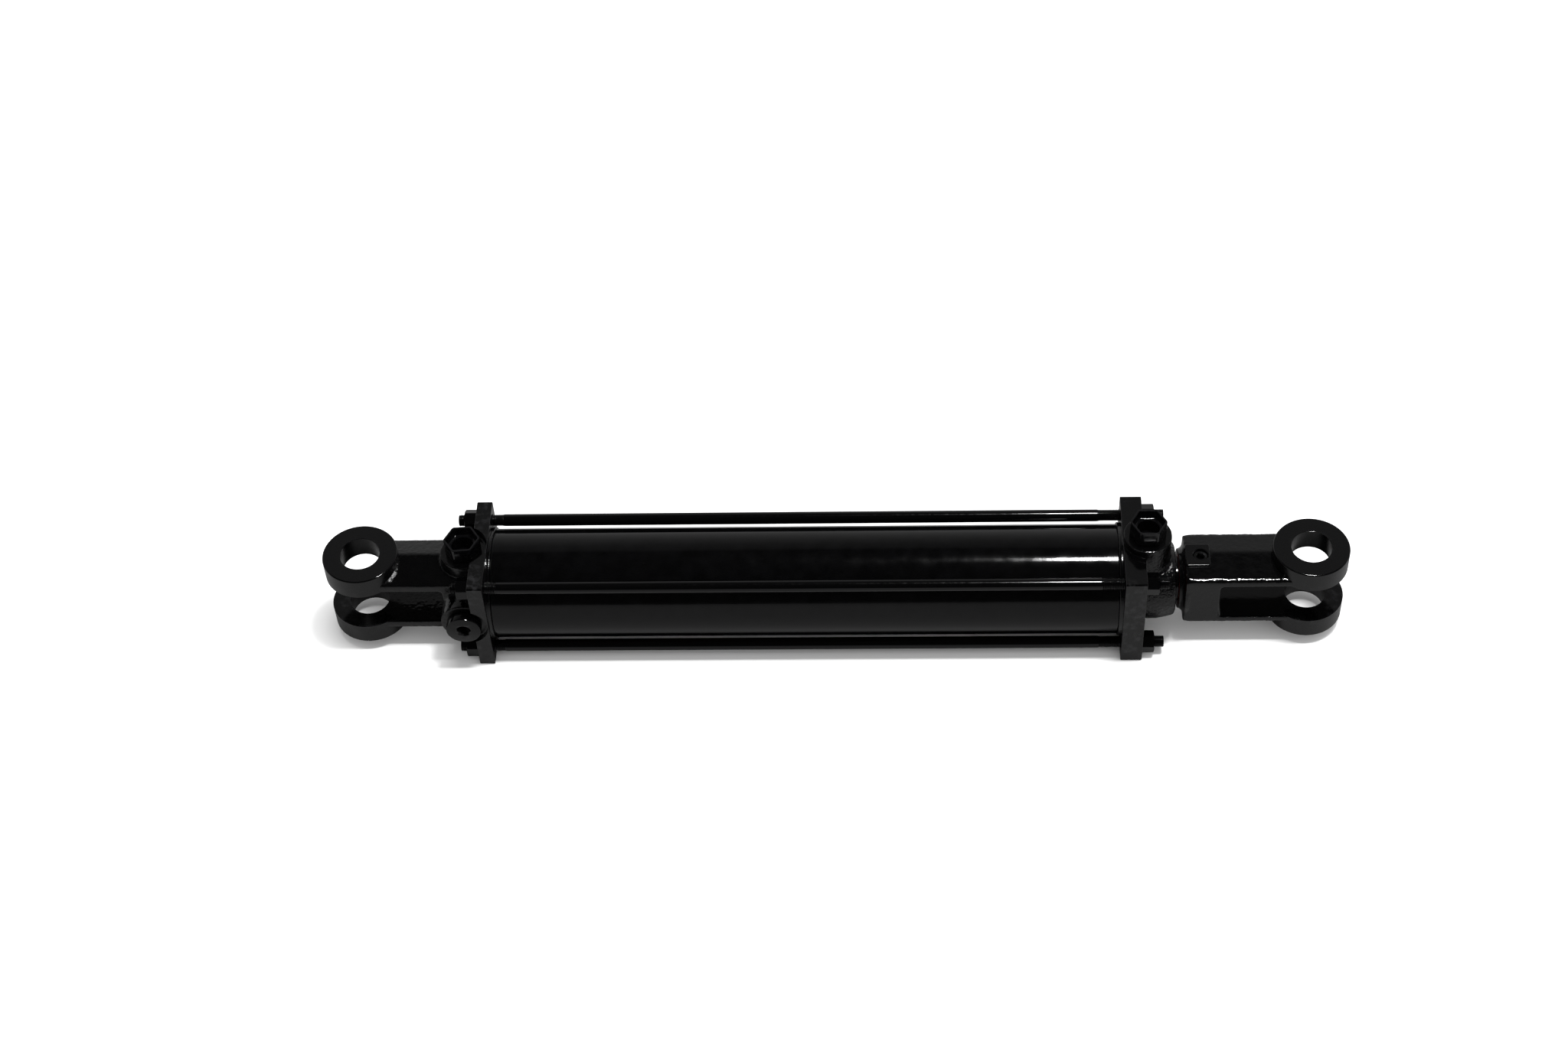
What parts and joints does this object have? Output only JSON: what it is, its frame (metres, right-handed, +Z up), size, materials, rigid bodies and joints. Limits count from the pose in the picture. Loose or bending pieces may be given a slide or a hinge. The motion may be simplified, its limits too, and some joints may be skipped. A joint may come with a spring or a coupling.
{
  "type": "hydraulic cylinder",
  "caption": "Tie-rod hydraulic cylinder with a slotted clevis on its base cap and on its sliding rod, plugged oil ports and square flanges.",
  "frame": {"origin": "centre of the base clevis pin bore, midway between its two ears", "axes": "+X along the cylinder axis from the base pin to the rod pin, +Z up along the two pin bores, port plugs on top and on the -Y side"},
  "size_m": [0.6652, 0.0791, 0.0937],
  "materials": {
    "black_enamel_cast": "gloss black enamel over cast iron",
    "black_enamel_steel": "gloss black enamel over drawn steel",
    "black_plastic": "moulded black plastic",
    "chrome_rod": "hard chrome",
    "turned_steel": "turned",
    "piston_iron": "turned cast iron",
    "black_rubber": "nitrile",
    "red_urethane": "polyurethane",
    "bronze": "turned bronze",
    "backup_plastic": "filled plastic",
    "wear_plastic": "filled nylon",
    "seal_plastic": "filled plastic"
  },
  "bodies": {
    "barrel": {"base_cap": "black_enamel_cast", "head_gland": "black_enamel_cast", "cylinder_tube": "black_enamel_steel", "tie_rods": "black_enamel_steel", "base_nuts": "black_enamel_steel", "head_nuts": "black_enamel_steel", "base_port_plug": "black_plastic", "head_port_plug": "black_plastic", "side_port_plug": "black_enamel_steel", "side_plug_oring": "black_rubber", "base_tube_oring": "black_rubber", "base_backup_ring": "backup_plastic", "head_tube_oring": "black_rubber", "head_backup_ring": "backup_plastic", "rod_bushing": "bronze", "rod_seal": "red_urethane", "rod_wiper": "red_urethane"},
    "piston_rings": {"piston_seal": "seal_plastic", "piston_energizer": "black_rubber", "piston_wear_ring": "wear_plastic"},
    "rod": {"piston": "piston_iron", "piston_lock_nut": "turned_steel", "piston_rod_oring": "black_rubber", "piston_rod": "chrome_rod", "rod_clevis": "black_enamel_cast", "clevis_set_screw": "black_enamel_steel"}
  },
  "joints": [
    {"name": "rod_slide", "type": "slide", "parent": "barrel", "child": "piston_rings", "axis": [1, 0, 0], "range_m": [0, 0.3556]},
    {"name": "rod_spin", "type": "hinge", "parent": "piston_rings", "child": "rod", "pos_m": [0.11195, 0, 0], "axis": [1, 0, 0], "continuous": true}
  ]
}
